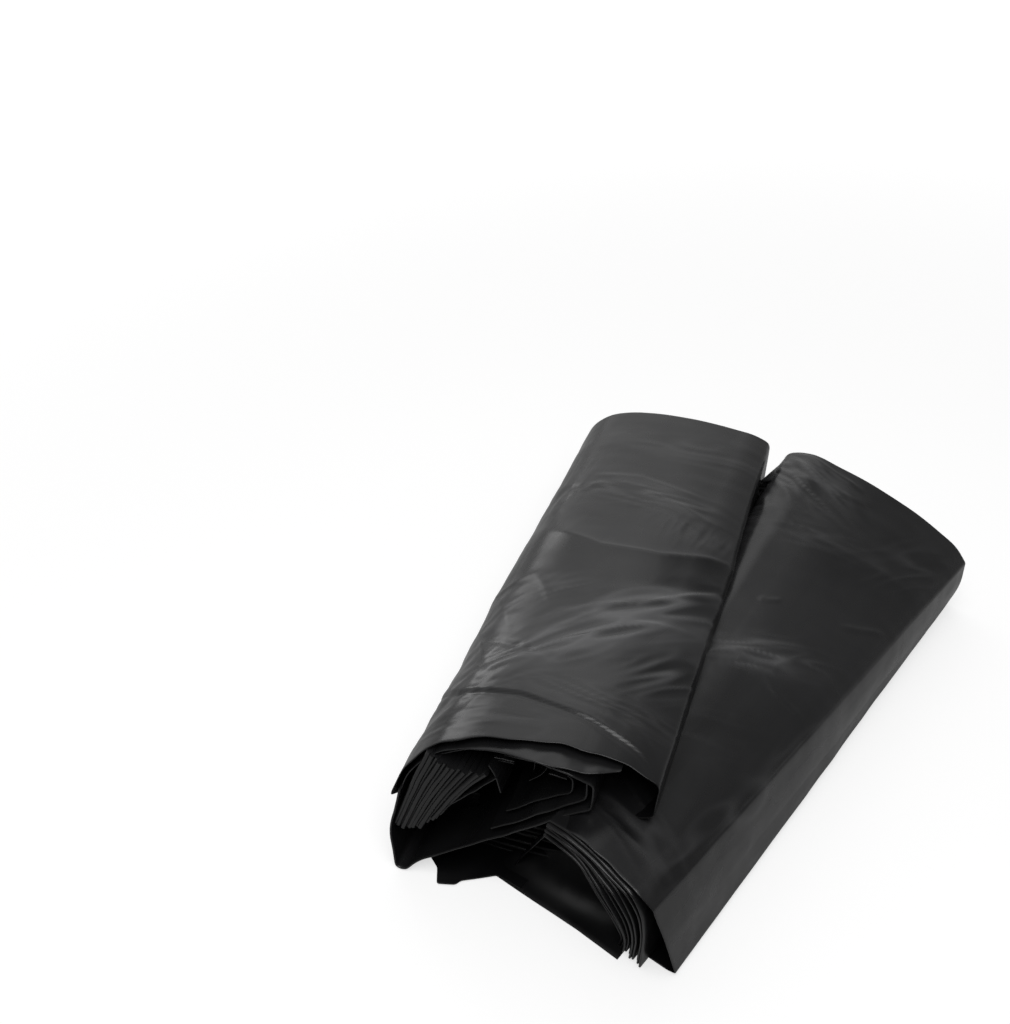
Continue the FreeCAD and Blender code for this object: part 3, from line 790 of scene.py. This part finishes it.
def blend(tree, source, low, high, start, end):
    """A smooth change from start to end while source goes from low to high."""
    node = tree.nodes.new("ShaderNodeMapRange")
    node.interpolation_type = "SMOOTHSTEP"
    node.inputs["From Min"].default_value, node.inputs["From Max"].default_value = low, high
    node.inputs["To Min"].default_value, node.inputs["To Max"].default_value = start, end
    tree.links.new(source, node.inputs["Value"])
    return node.outputs["Result"]


def combined(tree, operation, *values):
    """A Math node of numbers and sockets."""
    node = tree.nodes.new("ShaderNodeMath")
    node.operation = operation
    for socket, value in zip(node.inputs, values):
        if isinstance(value, float):
            socket.default_value = value
        else:
            tree.links.new(value, socket)
    return node.outputs["Value"]


# The floor, in metres: half its side, its greys, how much it glows for the camera near the object and far
# from it, between which distances that changes, and how much it glows in reflections.
FLOOR_HALF = 40
FLOOR_GREYS = (0.44, 0.46)
NEAR_GLOW, FAR_GLOW = 0.64, 1.0
NEAR, FAR = 0.5, 3.0
MIRRORED_GLOW = 0.04


def floor():
    corners = [(x * FLOOR_HALF, y * FLOOR_HALF, 0) for x, y in ((-1, -1), (1, -1), (1, 1), (-1, 1))]
    mesh = bpy.data.meshes.new("floor")
    mesh.from_pydata(corners, [], [(0, 1, 2, 3)])
    ground = bpy.data.objects.new("floor", mesh)
    bpy.context.scene.collection.objects.link(ground)
    material = bpy.data.materials.new("floor_paper")
    material.use_nodes = True
    tree = material.node_tree
    new, link = tree.nodes.new, tree.links.new
    surface = tree.nodes["Principled BSDF"]
    surface.inputs["Roughness"].default_value = 0.9
    surface.inputs["Specular IOR Level"].default_value = 0.1
    grain = new("ShaderNodeTexNoise")
    grain.inputs["Scale"].default_value = 3
    tone = new("ShaderNodeValToRGB")
    for element, grey in zip(tone.color_ramp.elements, FLOOR_GREYS):
        element.color = (grey, grey, grey, 1)
    link(grain.outputs["Fac"], tone.inputs["Fac"])
    link(tone.outputs["Color"], surface.inputs["Base Color"])
    path = new("ShaderNodeLightPath")
    mirrored = combined(tree, "MAXIMUM", path.outputs["Is Glossy Ray"], path.outputs["Is Transmission Ray"])
    place = new("ShaderNodeTexCoord")
    apart = new("ShaderNodeVectorMath")
    apart.operation = "LENGTH"
    link(place.outputs["Object"], apart.inputs[0])
    seen = blend(tree, apart.outputs["Value"], NEAR, FAR, NEAR_GLOW, FAR_GLOW)
    eye = combined(tree, "MULTIPLY", path.outputs["Is Camera Ray"], seen)
    glow = combined(tree, "MULTIPLY_ADD", mirrored, MIRRORED_GLOW, eye)
    surface.inputs["Emission Color"].default_value = (1, 1, 1, 1)
    link(glow, surface.inputs["Emission Strength"])
    mesh.materials.append(material)


def world():
    """A plain soft studio, brighter towards the back left, which the camera sees as white."""
    sky = bpy.data.worlds.new("studio")
    bpy.context.scene.world = sky
    sky.use_nodes = True
    tree = sky.node_tree
    tree.nodes.clear()
    new, link = tree.nodes.new, tree.links.new
    output = new("ShaderNodeOutputWorld")
    background = new("ShaderNodeBackground")
    background.inputs["Color"].default_value = (1, 1, 1, 1)
    place = new("ShaderNodeTexCoord")
    parts = new("ShaderNodeSeparateXYZ")
    link(place.outputs["Generated"], parts.inputs["Vector"])
    left = blend(tree, parts.outputs["X"], -0.5, 0.22, 0.70, 0.205)
    back = blend(tree, parts.outputs["Y"], -0.7, 0.3, 0.0, 0.82)
    far_back = blend(tree, parts.outputs["Y"], 0.45, 0.95, 0.0, 0.22)
    strength = combined(tree, "MULTIPLY", left, combined(tree, "ADD", back, far_back))
    strength = combined(tree, "ADD", strength, 0.064)
    path = new("ShaderNodeLightPath")
    strength = combined(tree, "MAXIMUM", strength, path.outputs["Is Camera Ray"])
    link(strength, background.inputs["Strength"])
    link(background.outputs["Background"], output.inputs["Surface"])


def add_holder(name, data, place):
    """An object that holds a lamp or the camera."""
    holder = bpy.data.objects.new(name, data)
    bpy.context.scene.collection.objects.link(holder)
    holder.location = place
    return holder


def lamp(name, place, aim, size, power):
    light = bpy.data.lights.new(name, "AREA")
    light.shape = "RECTANGLE"
    light.size = light.size_y = size
    light.energy = power
    holder = add_holder(name, light, place)
    holder.rotation_euler = (Vector(aim) - Vector(place)).to_track_quat("-Z", "Y").to_euler()


def camera():
    view = bpy.data.cameras.new("camera")
    view.lens = LENS
    view.sensor_width = SENSOR
    holder = add_holder("camera", view, CAMERA)
    holder.rotation_euler = (math.radians(CAMERA_TILT), 0, math.radians(CAMERA_TURN))
    bpy.context.scene.camera = holder


floor()
world()
lamp("key_light", (-2.2, 1.1, 0.85), (0, 0, 0.05), 0.8, 3.9)
lamp("soft_light", (-0.95, 1.25, 2.1), (0, 0, 0.05), 1.7, 3.8)
lamp("top_light", (0.3, -0.7, 2.2), (0, 0, 0), 1.8, 34)
camera()
bpy.context.scene.view_settings.view_transform = "Standard"
